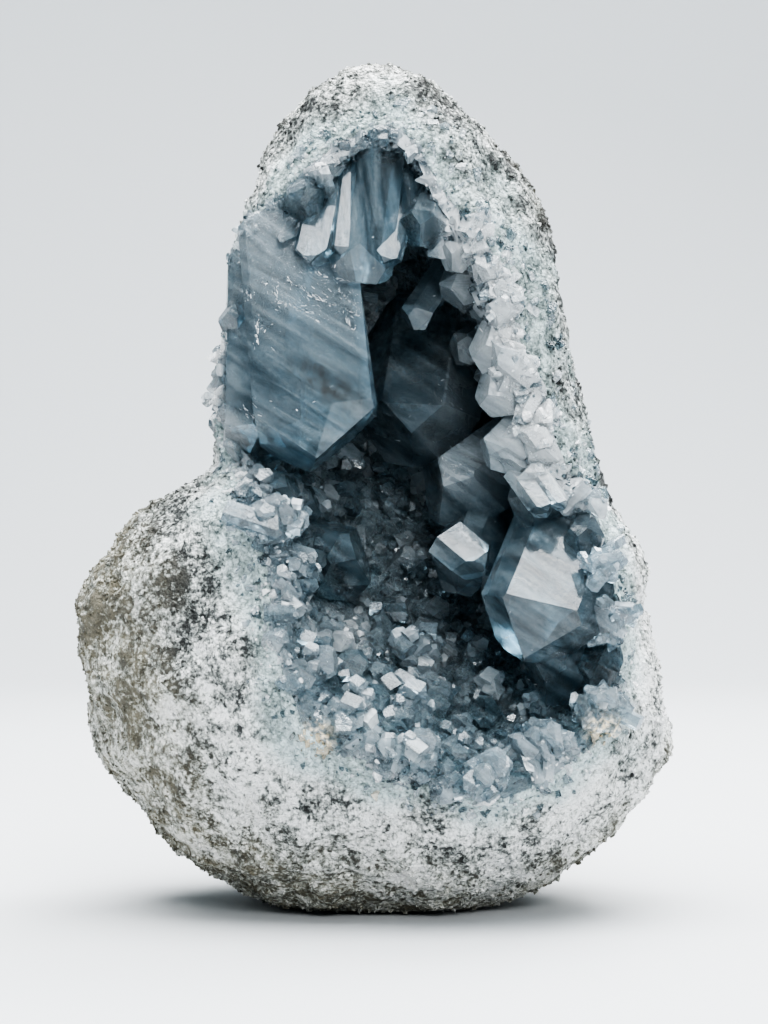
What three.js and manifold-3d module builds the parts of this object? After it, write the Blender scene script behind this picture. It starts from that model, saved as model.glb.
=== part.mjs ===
// A celestite geode: a pear-shaped nodule of pale granular rock, broken open at the front, with a deep hollow
// lined by a crust of blue-grey celestite crystals. It stands on a small flat spot.
//
// Units are millimetres. X is to the right as the open side is seen, +Y runs from the open side to the back
// and +Z is up. The origin is on the surface that the nodule stands on, under the middle of its bounding box.

import * as THREE from "three";
import { ImprovedNoise } from "three/addons/math/ImprovedNoise.js";
import { mergeVertices } from "three/addons/utils/BufferGeometryUtils.js";
import Module from "manifold-3d";

const wasm = await Module();
wasm.setup();

// ---------------------------------------------------------------- driving dimensions

const HEIGHT = 125; // from the flat spot to the top of the nodule
const GAP = 0.4; // between the rock and the crust that grew on it
const CRUST = 4.2; // thickness of the crust where no crystal stands on it
const FACETS = { nodule: [38, 29], wall: [30, 6], crust: [32, 9] }; // around and along each surface
const WELD = 1e-4; // points closer than this are one

// The nodule's half outlines from the flat spot up: height, left, right, front and back.
const OUTLINE = [
  [0, -12, 15, -9, 17],
  [1.2, -18, 20, -13.5, 21],
  [5, -25, 26.5, -20, 26.5],
  [11, -32.5, 33.5, -26, 30.5],
  [19, -38.8, 39.6, -30.4, 32.8],
  [27, -42.6, 43.6, -32.4, 33.4],
  [35, -43.9, 41.4, -32.2, 33.2],
  [43, -43.8, 39.4, -31, 32.4],
  [51, -41.4, 38.6, -29.6, 31.2],
  [57, -36.8, 36.4, -28.6, 30.2],
  [61, -31, 34.8, -27.8, 29.6],
  [64.5, -23.4, 33.2, -27.2, 29],
  [71, -22.6, 30.4, -26.4, 28],
  [80, -22.9, 28.4, -25, 26.6],
  [90, -21.2, 27.4, -23.4, 25],
  [100, -19.8, 25, -21.4, 22.6],
  [109, -17, 20.8, -18.8, 19.4],
  [116, -13.6, 16.2, -15.4, 15.4],
  [121.5, -9, 10.6, -10.8, 10.6],
  [124.4, -4, 4.8, -5.4, 5.2],
];
const ROUNDNESS = { front: 2.5, back: 2.2 }; // exponents of the nodule's level sections: 2 is an ellipse
const LUMPS = [
  // size of the lumps, and how far they stand out
  [19, 2.4],
  [8, 1.5],
];
const SETTLED = 9; // below this height the lumps fade out towards the flat spot

// The mouth of the hollow as x and z, anticlockwise from the top. On the left it runs out past the rock,
// where crystals alone close the side.
const MOUTH = [
  [-4.6, 117], [-11, 112.5], [-16.6, 106.5], [-25.5, 101], [-28.5, 90], [-29, 76], [-26.5, 66.5],
  [-20.5, 60.5], [-16.8, 53], [-15, 43.5], [-13, 34], [-9, 26.5], [-2, 22.5], [5, 20], [11.5, 18], [18, 15.5],
  [25.6, 18], [32.4, 22.5], [36.6, 27.5], [37.6, 33.5], [36.8, 40.5], [36.2, 48], [33.4, 56], [29.4, 64],
  [25, 73], [22, 81], [20.6, 89], [18, 97], [13.6, 103], [8.6, 109], [5.8, 115.5], [1.5, 118.5],
];
const DEEPEST = new THREE.Vector3(6, 15, 76); // where the hollow reaches furthest back
const MOUTH_DEPTH = -34; // the plane, in front of the rock, that the hollow's walls run out to
const PLUG_END = -60; // how far forward the solid runs that cuts the hollow
const FLOORWARD = [0.7, 1]; // the downward share of a direction that is towards the floor, from not to fully
const STEEPNESS = { wall: 4.6, floor: 2.6 }; // exponents of the hollow's depth, so that the floor slopes out
const FADE_AT_RIM = 6; // exponent by which the hollow's relief fades out at its rim
const RINGS = { first: 0.04, spread: 0.8 }; // reach of the hollow's first ring, and how the others spread
const HOLLOW_LUMPS = [12, 2];
const CRUST_LUMPS = [4.5, 1.8];

// The broken ridge that climbs the floor from the rim: two ends as x and z, how far it stands out, the share
// of that which it loses on its way up, and half its width.
const RIDGE = { from: [2.5, 20], to: [-4, 40], height: 9, falls: 0.5, halfWidth: 4 };

// Interfacial angles of celestite, in degrees between a face's normal and the crystal's own axes.
const SIDE_TO_BROAD = 52.1; // the side faces, against the normal of the broad face
const WEDGE_TO_LENGTH = 38; // the two faces of the chisel end, against the length
const BEVEL_TO_LENGTH = 50.6; // the two bevels of that end, against the length
const HALF_RIDGE = 0.28; // half the ridge of the chisel end, as a share of the thickness

// Further faces of two crystals: a point of each, and where it looks. The broken block has two sides and two
// bevels at its lower front, and the large crystal at the lower right has one bevel at its foot.
const BLOCK_FACES = [
  [[-19.5, -20.6, 94.5], [-0.995, 0.02, -0.1]],
  [[-2.4, -17.9, 91.7], [0.991, 0.06, 0.12]],
  [[-17.1, -24.3, 82], [-0.03, -1, 0.01]],
  [[-6.3, -24.7, 74.1], [0.26, -0.96, -0.08]],
];
const LOWER_FACES = [[[25.7, -29.2, 45.4], [-0.1, -0.97, -0.2]]];

// Crystals that stand clear of the crust: tip, root, width, thickness, where the broad face looks, and any
// faces besides those of a whole crystal.
const CRYSTALS = [
  // prisms that hang from the top of the hollow
  [[-9.2, -21, 93.8], [-5.9, -12.3, 111], 6.6, 2.6, [-0.28, -0.82, 0.5]],
  [[-4.9, -21.2, 94.6], [-3, -12.7, 113], 4.8, 3.6, [-0.12, -0.86, 0.5]],
  [[-2.6, -20.4, 91.2], [0.4, -11.5, 115.6], 10, 9, [1, -0.05, 0]],
  [[0.8, -21.8, 93.6], [3.2, -15.8, 102.2], 5, 2.4, [0.3, -0.8, 0.5]],
  [[4.6, -17.5, 97.2], [4.2, -10.5, 112.6], 5, 4, [0.5, -0.85, 0.1]],
  [[-10.3, -20, 101.8], [-11.1, -7, 110.6], 6.8, 5, [-0.3, -0.9, 0.2]],
  [[6.1, -21, 97.9], [9.8, -8, 107.6], 7.8, 6.4, [-0.1, -0.95, 0.3]],
  [[10.7, -19, 94.3], [15.7, -6, 103.8], 6, 5, [-0.2, -0.9, 0.3]],
  // the broken block that closes the left side, what it stands on, the points along its edge
  [[-9, -22, 65.3], [-12.8, -10, 103.4], 25, 11.5, [0.2, -0.93, 0.28], BLOCK_FACES],
  [[-16.4, -12, 66.4], [-16.2, -4, 102.6], 15, 13, [-0.5, -0.8, 0.1]],
  [[-22.4, -13, 86.8], [-16, -8, 86.5], 5.4, 4.4, [-0.3, -0.9, 0.3]],
  [[-22.7, -13, 73.7], [-16, -9, 73.5], 5.4, 4.4, [-0.3, -0.9, 0.3]],
  [[-22.9, -14, 67.6], [-16, -9, 68.3], 5.8, 4.6, [-0.3, -0.9, 0.3]],
  // deep in the middle
  [[5.1, -6, 67.7], [8.1, 13, 87.3], 19, 12.5, [-0.06, -0.88, 0.45]],
  [[4.9, -12, 86.1], [15.5, 5, 102.6], 5.6, 4.6, [-0.5, -0.8, -0.3]],
  [[11.6, -14, 89.6], [16.5, 3, 102.6], 7.6, 5.6, [-0.6, -0.8, 0.1]],
  [[11.9, -6, 82.2], [21, 7, 87.6], 6.2, 5, [-0.5, -0.8, 0.2]],
  // pale broken slabs of the right rim
  [[14.5, -21, 81.4], [24.4, -12, 83.9], 9.4, 6.4, [-0.35, -0.92, 0.1]],
  [[15.2, -20.5, 74.5], [25.5, -11, 79.6], 8, 5, [-0.3, -0.95, 0.05]],
  [[16.1, -20.5, 65.7], [26.7, -10, 76.4], 7.8, 5, [-0.45, -0.85, 0.1]],
  [[21.5, -20.5, 65.7], [29.6, -10, 74.2], 7, 4.6, [-0.3, -0.92, 0.2]],
  // blocks and points of the right wall
  [[9.3, -11, 59.6], [24.7, 7, 70.7], 15, 12, [-0.35, -0.9, 0.25]],
  [[22.3, -21, 57.5], [25.9, -3, 72.3], 8.4, 7, [0.1, -0.86, 0.5]],
  [[11.6, -18, 48.9], [18.5, 7, 64.9], 9.6, 8.4, [0, -0.87, 0.5]],
  [[15.4, -21.4, 50.4], [10.2, -17.5, 54.8], 7.6, 4, [0.03, -0.75, 0.65]],
  [[24.1, -24, 58.3], [20, -18.8, 64.4], 4.4, 2.4, [0.03, -0.75, 0.66]],
  [[26.4, -24.3, 59.2], [23, -19.9, 64.3], 3.2, 1.8, [0.03, -0.75, 0.66]],
  [[16.4, -19, 47.2], [24.3, 0, 55.9], 5, 4.4, [0.3, -0.85, 0.42]],
  [[20.8, -28.7, 39.3], [31.6, -7.7, 63.2], 17.5, 9.5, [0.05, -0.87, 0.5], LOWER_FACES],
  [[23.9, -23, 32.6], [34.3, -6, 48.6], 12, 10, [-0.3, -0.9, 0.2]],
  [[30, -24.5, 34.4], [36, -11, 44.3], 7, 5.4, [-0.4, -0.9, 0.2]],
  [[28.6, -24, 53.9], [33.4, -8, 61.8], 6, 5, [-0.3, -0.9, 0.3]],
  // the left wall and its rim
  [[-2, -11, 50], [-17, -1, 54], 13, 11, [0.25, -0.9, 0.3]],
  [[-11.4, -26, 45.5], [-16.8, -14, 49], 5.6, 3.4, [0.2, -0.9, 0.35]],
  [[-8.6, -11, 59.2], [-19.1, -5, 61.1], 6.6, 5, [0.1, -0.9, 0.4]],
  [[-12, -22, 61.5], [-21, -12, 63.2], 6, 4.4, [0, -0.9, 0.4]],
  // along the broken ridge
  [[-3.6, -22, 38], [-3.7, -10, 30], 5.4, 4.4, [-0.3, -0.85, 0.4]],
  [[-0.7, -26.5, 33.4], [-0.8, -15, 25.2], 6, 4.4, [0.3, -0.85, 0.4]],
  [[2.1, -29.5, 28.4], [2.2, -18, 20.2], 6.4, 4.6, [-0.3, -0.85, 0.4]],
  [[-6, -27.5, 33], [-7.6, -18, 25.2], 5.4, 4.6, [-0.2, -0.85, 0.4]],
  // the floor of the hollow
  [[7.6, -20, 31], [9.8, -8, 25.9], 5.8, 5.2, [0.1, -0.85, 0.5]],
  [[15.4, -20, 30.7], [15.4, -8, 24.7], 5.2, 5, [0, -0.85, 0.5]],
  [[17.4, -29, 23], [21.9, -22, 15.6], 8, 5, [-0.2, -0.9, 0.3]],
  [[27, -27, 28.4], [32.5, -15, 23], 6, 5, [-0.2, -0.9, 0.3]],
];

// The druse: small crystals all over the crust, further apart above a height. Their feet stand at a reach of
// the hollow from the first value to the sum of both, and the smaller the exponent, the more stand far out.
const DRUSE = {
  tries: 2500, spacing: 7.75, sparseAbove: 61, sparser: 3.6, smallest: 4.6, largest: 7.2, sunk: 1.8,
  reach: { from: 0.06, over: 0.92, exponent: 0.6 }, seed: 11,
};

// Larger broken crystals that make the crust's rim ragged, and point forwards. None is made at the back of
// the rim or under the top of the hollow, where the prisms hang.
const RAGGED_RIM = {
  count: 19, inset: 3.2, smallest: 4.6, largest: 7, sunk: 0.45, forwards: 1.4, hiddenBehind: -10,
  bareFrom: [-10, 100], bareTo: [6, 125], seed: 5,
};

const FINISH = {
  rock: { color: 0xcfd2d0, roughness: 0.85, metalness: 0 },
  celestite: { color: 0x7d97a9, roughness: 0.12, metalness: 0 },
};

// ---------------------------------------------------------------- helpers

const noise = new ImprovedNoise();

/** A sum of noise fields at a point, each with its own lump size and height. */
function lumpsAt(p, fields) {
  const lump = ([size, height]) => height * noise.noise(p.x / size, p.y / size, p.z / size);
  return fields.reduce((sum, field) => sum + lump(field), 0);
}

/** A repeatable stream of numbers from 0 to 1. */
function seeded(seed) {
  const [multiplier, increment, range] = [1664525, 1013904223, 2 ** 32];
  let state = seed;
  return () => {
    state = (Math.imul(state, multiplier) + increment) >>> 0;
    return state / range;
  };
}

/** A random vector whose parts lie between -0.5 and 0.5. */
function scatter(random) {
  return new THREE.Vector3(random() - 0.5, random() - 0.5, random() - 0.5);
}

/** A closed geometry as a manifold solid, its seams welded. */
function solidOf(geometry) {
  geometry.deleteAttribute("normal");
  geometry.deleteAttribute("uv");
  const welded = mergeVertices(geometry, WELD);
  return new wasm.Manifold(new wasm.Mesh({
    numProp: 3,
    vertProperties: welded.attributes.position.array,
    triVerts: new Uint32Array(welded.index.array),
  }));
}

/** A manifold solid as a named mesh with its finish. */
function meshOf(solid, name, finish) {
  const { vertProperties, triVerts } = solid.getMesh();
  const geometry = new THREE.BufferGeometry();
  geometry.setAttribute("position", new THREE.BufferAttribute(vertProperties, 3));
  geometry.setIndex(new THREE.BufferAttribute(triVerts, 1));
  geometry.computeVertexNormals();
  const mesh = new THREE.Mesh(geometry, new THREE.MeshStandardMaterial(finish));
  mesh.name = name;
  return mesh;
}

/**
 * A capped cylinder whose vertices are moved by place(turn, level, reach): turn and level run from 0 to 1,
 * and reach is 0 at the middle of a cap and 1 on the wall.
 */
function shapedCylinder(around, rings, place) {
  const geometry = new THREE.CylinderGeometry(1, 1, 1, around, rings);
  const position = geometry.attributes.position;
  const at = new THREE.Vector3();
  for (let i = 0; i < position.count; i++) {
    at.fromBufferAttribute(position, i);
    const reach = Math.round(Math.hypot(at.x, at.z));
    const step = Math.round((Math.atan2(at.x, at.z) / (2 * Math.PI)) * around);
    const turn = ((step + around) % around) / around;
    const level = Math.round((at.y + 0.5) * rings) / rings;
    position.setXYZ(i, ...place(turn, level, reach));
  }
  return solidOf(geometry);
}

// ---------------------------------------------------------------- the nodule

/** The outline's five measures at a share of the way up its list, by a Catmull-Rom spline. */
function outlineAt(share) {
  const at = share * (OUTLINE.length - 1);
  const i = Math.min(Math.floor(at), OUTLINE.length - 2);
  const t = at - i;
  const [before, from, to, after] = [i - 1, i, i + 1, i + 2].map(
    (k) => OUTLINE[Math.min(Math.max(k, 0), OUTLINE.length - 1)],
  );
  return from.map((value, k) => {
    const slopeIn = (to[k] - before[k]) / 2;
    const slopeOut = (after[k] - value) / 2;
    const rise = to[k] - value;
    const [bend, twist] = [3 * rise - 2 * slopeIn - slopeOut, slopeIn + slopeOut - 2 * rise];
    return value + t * (slopeIn + t * (bend + t * twist));
  });
}

/** A point of the nodule's skin. It bulges with lumps everywhere but on the flat spot. */
function skinPoint(turn, share) {
  const [height, left, right, front, back] = outlineAt(share);
  const angle = turn * 2 * Math.PI;
  const outward = new THREE.Vector3(Math.cos(angle), Math.sin(angle), 0);
  const [depth, roundness] = outward.y < 0 ? [-front, ROUNDNESS.front] : [back, ROUNDNESS.back];
  const width = (right - left) / 2;
  const closeness = Math.abs(outward.x / width) ** roundness + Math.abs(outward.y / depth) ** roundness;
  const point = outward.clone().divideScalar(closeness ** (1 / roundness));
  point.add(new THREE.Vector3((left + right) / 2, 0, height));
  const settled = THREE.MathUtils.smoothstep(height, 0, SETTLED);
  return point.addScaledVector(outward, settled * lumpsAt(point, LUMPS));
}

/** The whole nodule, before it was broken open. */
function nodule() {
  return shapedCylinder(...FACETS.nodule, (turn, level, reach) => {
    const point = skinPoint(turn, level);
    if (reach === 0) point.set(0, 0, level === 0 ? 0 : HEIGHT);
    return point;
  });
}

// ---------------------------------------------------------------- the hollow

const mouthCurve = new THREE.CatmullRomCurve3(MOUTH.map(([x, z]) => new THREE.Vector3(x, 0, z)), true);

/** How far a point on the hollow's floor is lifted towards the front by the broken ridge. */
function ridgeLift(x, z) {
  const [from, to] = [new THREE.Vector2(...RIDGE.from), new THREE.Vector2(...RIDGE.to)];
  const along = to.clone().sub(from);
  const away = new THREE.Vector2(x, z).sub(from);
  const share = THREE.MathUtils.clamp(away.dot(along) / along.lengthSq(), 0, 1);
  const off = away.addScaledVector(along, -share).length();
  return RIDGE.height * (1 - RIDGE.falls * share) * Math.exp(-((off / RIDGE.halfWidth) ** 2));
}

/**
 * A point of the hollow's wall: reach runs from 0 where it is deepest to 1 at the mouth. The wall grows
 * backwards where it is deepest, and more and more sideways towards the mouth.
 */
function hollowPoint(turn, reach, grow) {
  const rim = mouthCurve.getPoint(turn);
  const outward = rim.clone().setY(0).sub(DEEPEST.clone().setY(0));
  const distance = outward.length();
  outward.normalize();
  const floorward = THREE.MathUtils.smoothstep(-outward.z, ...FLOORWARD);
  const steepness = THREE.MathUtils.lerp(STEEPNESS.wall, STEEPNESS.floor, floorward);
  const sideways = reach ** 2;
  const point = outward.multiplyScalar((distance + grow * sideways) * reach).add(DEEPEST);
  const away = THREE.MathUtils.lerp(DEEPEST.y, MOUTH_DEPTH, reach ** steepness);
  const fades = 1 - reach ** FADE_AT_RIM;
  point.y = away + grow * (1 - sideways) - ridgeLift(point.x, point.z) * fades;
  point.y += fades * lumpsAt(point, [HOLLOW_LUMPS]);
  return point;
}

/** The hollow as a solid plug, which runs on out of the mouth, grown outwards by a distance and roughened. */
function hollow(grow, [around, rings], roughness = []) {
  return shapedCylinder(around, rings, (turn, level, reach) => {
    const share = Math.min((level * rings) / (rings - 1), 1); // the last ring is the plug's outer end
    const point = hollowPoint(turn, reach * Math.max(share, RINGS.first) ** RINGS.spread, grow);
    point.y += lumpsAt(point, roughness);
    if (level === 1) point.y = PLUG_END;
    return point;
  });
}

// ---------------------------------------------------------------- crystals

const radians = THREE.MathUtils.degToRad;

/** The half-spaces of a crystal with its tip at the origin and its length along +X: normals and distances. */
function crystalFaces(width, thickness) {
  const [side, wedge, bevel] = [SIDE_TO_BROAD, WEDGE_TO_LENGTH, BEVEL_TO_LENGTH].map(radians);
  const ridge = HALF_RIDGE * thickness;
  return [1, -1].flatMap((sign) => [
    [[0, sign * Math.sin(side), Math.cos(side)], (width / 2) * Math.sin(side)],
    [[0, sign * Math.sin(side), -Math.cos(side)], (width / 2) * Math.sin(side)],
    [[Math.cos(wedge), sign * Math.sin(wedge), 0], 0],
    [[Math.cos(bevel), 0, sign * Math.sin(bevel)], ridge * Math.sin(bevel)],
  ]);
}

/** A box cut down by a crystal's faces, then laid from its root to its tip. */
function crystal(tip, root, width, thickness, looks) {
  const length = tip.distanceTo(root);
  const slack = 1.02; // the box is wider than the side faces leave it
  let solid = solidOf(new THREE.BoxGeometry(length, slack * width, thickness).translate(-length / 2, 0, 0));
  for (const [normal, distance] of crystalFaces(width, thickness)) {
    solid = solid.trimByPlane(normal.map((n) => -n), -distance);
  }
  const along = tip.clone().sub(root).normalize();
  const broad = looks.clone().addScaledVector(along, -looks.dot(along)).normalize();
  const across = new THREE.Vector3().crossVectors(broad, along);
  const placed = new THREE.Matrix4().makeBasis(along, across, broad).setPosition(tip);
  return solid.transform(placed.elements);
}

/** A solid cut along further faces: a point of each, and where it looks. */
function cutAlong(solid, faces) {
  return faces.reduce((left, [point, looks]) => {
    const normal = new THREE.Vector3(...looks).normalize();
    return left.trimByPlane(normal.clone().negate().toArray(), -normal.dot(new THREE.Vector3(...point)));
  }, solid);
}

/** The crystals that stand clear of the crust. */
function largeCrystals() {
  return CRYSTALS.map(([tip, root, width, thickness, looks, faces = []]) => {
    const [tipAt, rootAt, looksTo] = [tip, root, looks].map((values) => new THREE.Vector3(...values));
    return cutAlong(crystal(tipAt, rootAt, width, thickness, looksTo), faces);
  });
}

/** The way out of the hollow's wall at a point, into the hollow. */
function wallNormal(turn, reach) {
  const step = 0.01;
  const at = hollowPoint(turn, reach, -CRUST);
  const onward = hollowPoint((turn + step) % 1, reach, -CRUST).sub(at);
  const inward = hollowPoint(turn, reach - step, -CRUST).sub(at);
  return onward.cross(inward).normalize();
}

/** A small crystal on a foot. */
function smallCrystal(foot, along, size, spin) {
  const looks = new THREE.Vector3(Math.cos(spin), -1, Math.sin(spin)).normalize();
  const tip = foot.clone().addScaledVector(along, size - DRUSE.sunk);
  const root = foot.clone().addScaledVector(along, -DRUSE.sunk);
  return crystal(tip, root, size, size, looks);
}

/** The small crystals of the druse, spread over the crust at about one spacing from each other. */
function druse() {
  const random = seeded(DRUSE.seed);
  const taken = [];
  const made = [];
  for (let i = 0; i < DRUSE.tries; i++) {
    const turn = random();
    const reach = DRUSE.reach.from + DRUSE.reach.over * random() ** DRUSE.reach.exponent;
    const spin = random() * 2 * Math.PI;
    const foot = hollowPoint(turn, reach, -CRUST);
    const size = THREE.MathUtils.lerp(DRUSE.smallest, DRUSE.largest, random() ** 2);
    const lean = scatter(random);
    const spacing = DRUSE.spacing * (foot.z > DRUSE.sparseAbove ? DRUSE.sparser : 1);
    if (taken.some((other) => other.distanceTo(foot) < spacing)) continue;
    taken.push(foot);
    made.push(smallCrystal(foot, wallNormal(turn, reach).add(lean).normalize(), size, spin));
  }
  return made;
}

/** How far forward the nodule's skin is at x and z. */
function skinFront(x, z) {
  const halvings = 20;
  let [low, high] = [0, 1];
  for (let i = 0; i < halvings; i++) {
    const middle = (low + high) / 2;
    if (outlineAt(middle)[0] < z) low = middle;
    else high = middle;
  }
  const [, left, right, front] = outlineAt(low);
  const across = Math.abs(2 * x - left - right) / (right - left);
  return front * Math.max(1 - across ** ROUNDNESS.front, 0) ** (1 / ROUNDNESS.front);
}

/** Whether a place on the rim is left without a broken crystal. */
function isBare({ x, y, z }) {
  const [[left, bottom], [right, top]] = [RAGGED_RIM.bareFrom, RAGGED_RIM.bareTo];
  return y >= RAGGED_RIM.hiddenBehind || (x > left && x < right && z > bottom && z < top);
}

/** Broken crystals along the rim of the crust. */
function raggedRim() {
  const random = seeded(RAGGED_RIM.seed);
  const made = [];
  for (let i = 0; i < RAGGED_RIM.count; i++) {
    const rim = mouthCurve.getPoint((i + random()) / RAGGED_RIM.count);
    const inward = new THREE.Vector3(DEEPEST.x - rim.x, 0, DEEPEST.z - rim.z).normalize();
    const foot = rim.addScaledVector(inward, RAGGED_RIM.inset * (0.5 + random()));
    foot.y = skinFront(foot.x, foot.z);
    const size = THREE.MathUtils.lerp(RAGGED_RIM.smallest, RAGGED_RIM.largest, random());
    const along = inward.add(scatter(random).setY(-RAGGED_RIM.forwards)).normalize();
    const spin = random() * Math.PI;
    if (isBare(foot)) continue;
    made.push(smallCrystal(foot.addScaledVector(along, -RAGGED_RIM.sunk * size), along, size, spin));
  }
  return made;
}

/** The wall of the rock that the crust grew on, left smoother than the crust, a gap away from it or at it. */
function wall(gap) {
  return hollow(gap, FACETS.wall);
}

/** The crust on the hollow's wall, cut off where the nodule broke. */
function lining(whole) {
  return wall(0).subtract(hollow(-CRUST, FACETS.crust, [CRUST_LUMPS])).intersect(whole);
}

// ---------------------------------------------------------------- the part

const whole = nodule();
const rock = whole.subtract(wall(GAP));
const grown = wasm.Manifold.union([lining(whole), ...largeCrystals(), ...druse(), ...raggedRim()]);
const [crust] = grown.intersect(wall(0)).decompose().sort((a, b) => b.volume() - a.volume());

const { min, max } = rock.add(crust).boundingBox();
const overTheOrigin = [-(min[0] + max[0]) / 2, -(min[1] + max[1]) / 2, 0];

const geode = new THREE.Group();
geode.add(meshOf(rock.translate(overTheOrigin), "matrix_rock", FINISH.rock));
geode.add(meshOf(crust.translate(overTheOrigin), "crystal_crust", FINISH.celestite));

export default geode;
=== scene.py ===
# %% [markdown]
# # A celestite geode
# A pear-shaped nodule of pale, sugary rock is broken open at the front. Its hollow is lined with one crust
# of clear blue-grey celestite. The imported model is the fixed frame: the rock and the crust here stand
# exactly where its two solids stand, and only their surfaces get finer.

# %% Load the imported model
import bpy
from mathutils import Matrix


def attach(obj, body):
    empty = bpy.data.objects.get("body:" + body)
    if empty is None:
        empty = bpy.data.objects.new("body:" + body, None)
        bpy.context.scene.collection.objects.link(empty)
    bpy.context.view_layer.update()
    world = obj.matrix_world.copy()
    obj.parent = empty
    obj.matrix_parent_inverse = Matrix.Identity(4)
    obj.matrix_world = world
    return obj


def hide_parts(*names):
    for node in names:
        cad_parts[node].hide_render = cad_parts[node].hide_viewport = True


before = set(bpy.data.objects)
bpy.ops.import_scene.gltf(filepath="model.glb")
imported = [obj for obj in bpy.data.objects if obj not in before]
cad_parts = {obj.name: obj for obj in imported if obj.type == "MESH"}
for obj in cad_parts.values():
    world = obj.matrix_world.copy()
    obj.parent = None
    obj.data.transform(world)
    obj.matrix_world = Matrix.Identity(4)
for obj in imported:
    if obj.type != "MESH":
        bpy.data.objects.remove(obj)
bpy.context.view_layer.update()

# %% [markdown]
# ## Helpers
# Everything below is written in metres, as Blender has it, so a real size in millimetres is multiplied by
# MM. Random choices come from seeded generators, so that each run grows the same geode.

# %% Imports and small helpers
import math

import bmesh
import bpy
import numpy as np
from mathutils import Matrix, Vector, noise
from mathutils.bvhtree import BVHTree
from mathutils.kdtree import KDTree

MM = 0.001
FRONT = Vector((0, -1, 0))


def linear(colour):
    """An sRGB hex colour as the linear values that Blender works with."""
    parts = [int(colour[i:i + 2], 16) / 255 for i in (1, 3, 5)]
    return [c / 12.92 if c <= 0.04045 else ((c + 0.055) / 1.055) ** 2.4 for c in parts] + [1]


def plug(tree, node, inputs):
    """Fills a node's inputs with values, with outputs, or with nodes, which stand for their first output."""
    for name, value in inputs.items():
        if isinstance(value, bpy.types.Node):
            value = value.outputs[0]
        if isinstance(value, bpy.types.NodeSocket):
            tree.links.new(value, node.inputs[name])
        else:
            node.inputs[name].default_value = value
    return node


def add(tree, kind, inputs=None, **settings):
    """Adds a node of a kind, with its own settings and its inputs."""
    node = tree.nodes.new(kind)
    for name, value in settings.items():
        setattr(node, name, value)
    return plug(tree, node, inputs or {})


def new_material(name):
    """A new material, its node tree and its shader."""
    material = bpy.data.materials.new(name)
    material.use_nodes = True
    return material, material.node_tree, material.node_tree.nodes["Principled BSDF"]


def read_values(tree, attributes, noises):
    """The object's coordinates, and attributes and noises by name. A noise has a size and its settings."""
    position = add(tree, "ShaderNodeTexCoord").outputs["Object"]
    parts = {}
    for name in attributes:
        parts[name] = add(tree, "ShaderNodeAttribute", attribute_name=name).outputs["Fac"]
    for name, (size, settings) in noises.items():
        parts[name] = add(tree, "ShaderNodeTexNoise", {"Vector": position, "Scale": 1 / size, **settings})
    return position, parts


def work_out(tree, parts, ranges, sums):
    """Maps the parts that have a range to it, and adds sums, each of parts or numbers."""
    for name in sorted(parts.keys() & ranges.keys()):
        parts[name] = add(tree, "ShaderNodeMapRange", {"Value": parts[name], **ranges[name]})
    for name, operation, *terms in sums:
        inputs = {i: parts.get(term, term) for i, term in enumerate(terms)}
        parts[name] = add(tree, "ShaderNodeMath", inputs, operation=operation)
        if name in ranges:
            parts[name] = add(tree, "ShaderNodeMapRange", {"Value": parts[name], **ranges[name]})


def shade_ramp(ramp, shades):
    """Gives a colour ramp its shades, each a place and a colour, from dark to light."""
    ends = ramp.color_ramp.elements
    for end, (place, colour) in zip(ends, (shades[0], shades[-1])):
        end.position, end.color = place, linear(colour)
    for place, colour in shades[1:-1]:
        ends.new(place).color = linear(colour)


def smooth(value, low, high):
    """0 at low, 1 at high, and a smooth change between them. High may be the smaller one."""
    share = np.clip((value - low) / (high - low), 0, 1)
    return share * share * (3 - 2 * share)


def zone(points, **edges):
    """How far inside a zone each point is, from 0 to 1. Along an axis it fades in from outside to inside."""
    share = 1
    for axis, (outside, inside) in edges.items():
        share = share * smooth(np.asarray(points)[..., "xyz".index(axis)], outside, inside)
    return share


def in_scene(name, data):
    """A mesh, lamp or camera as an object of the scene."""
    thing = bpy.data.objects.new(name, data)
    bpy.context.scene.collection.objects.link(thing)
    return thing


def shown(name, mesh, material):
    """A mesh as an object of the scene, with its material."""
    piece = in_scene(name, mesh)
    mesh.materials.clear()
    mesh.materials.append(material)
    return piece


def triangles(mesh):
    """How many triangles a mesh has."""
    return sum(len(face.vertices) - 2 for face in mesh.polygons)


def drawn_size(kind, random):
    """A random size between a kind's limits. The higher its skew, the more of the pieces are small."""
    low, high = kind["width"]
    return low + (high - low) * random.random() ** kind["skew"]


def store(mesh, name, values, domain="POINT"):
    """Keeps one number for each point or face of a mesh, under a name that a material can read."""
    attribute = mesh.attributes.new(name, "FLOAT", domain)
    attribute.data.foreach_set("value", np.asarray(values, np.float32))


# %% [markdown]
# ## The stage
# The geode stands on a pale floor that sweeps up into a wall, as on a photographer's paper roll, so there is
# no horizon line. One edge is spun through a quarter turn for the sweep, and its two ends are extruded.

# %% Floor and backdrop
SWEEP = {"half_width": 1.6, "starts": 0.55, "radius": 0.45, "front": 1.4, "height": 1.6, "steps": 24}


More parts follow.
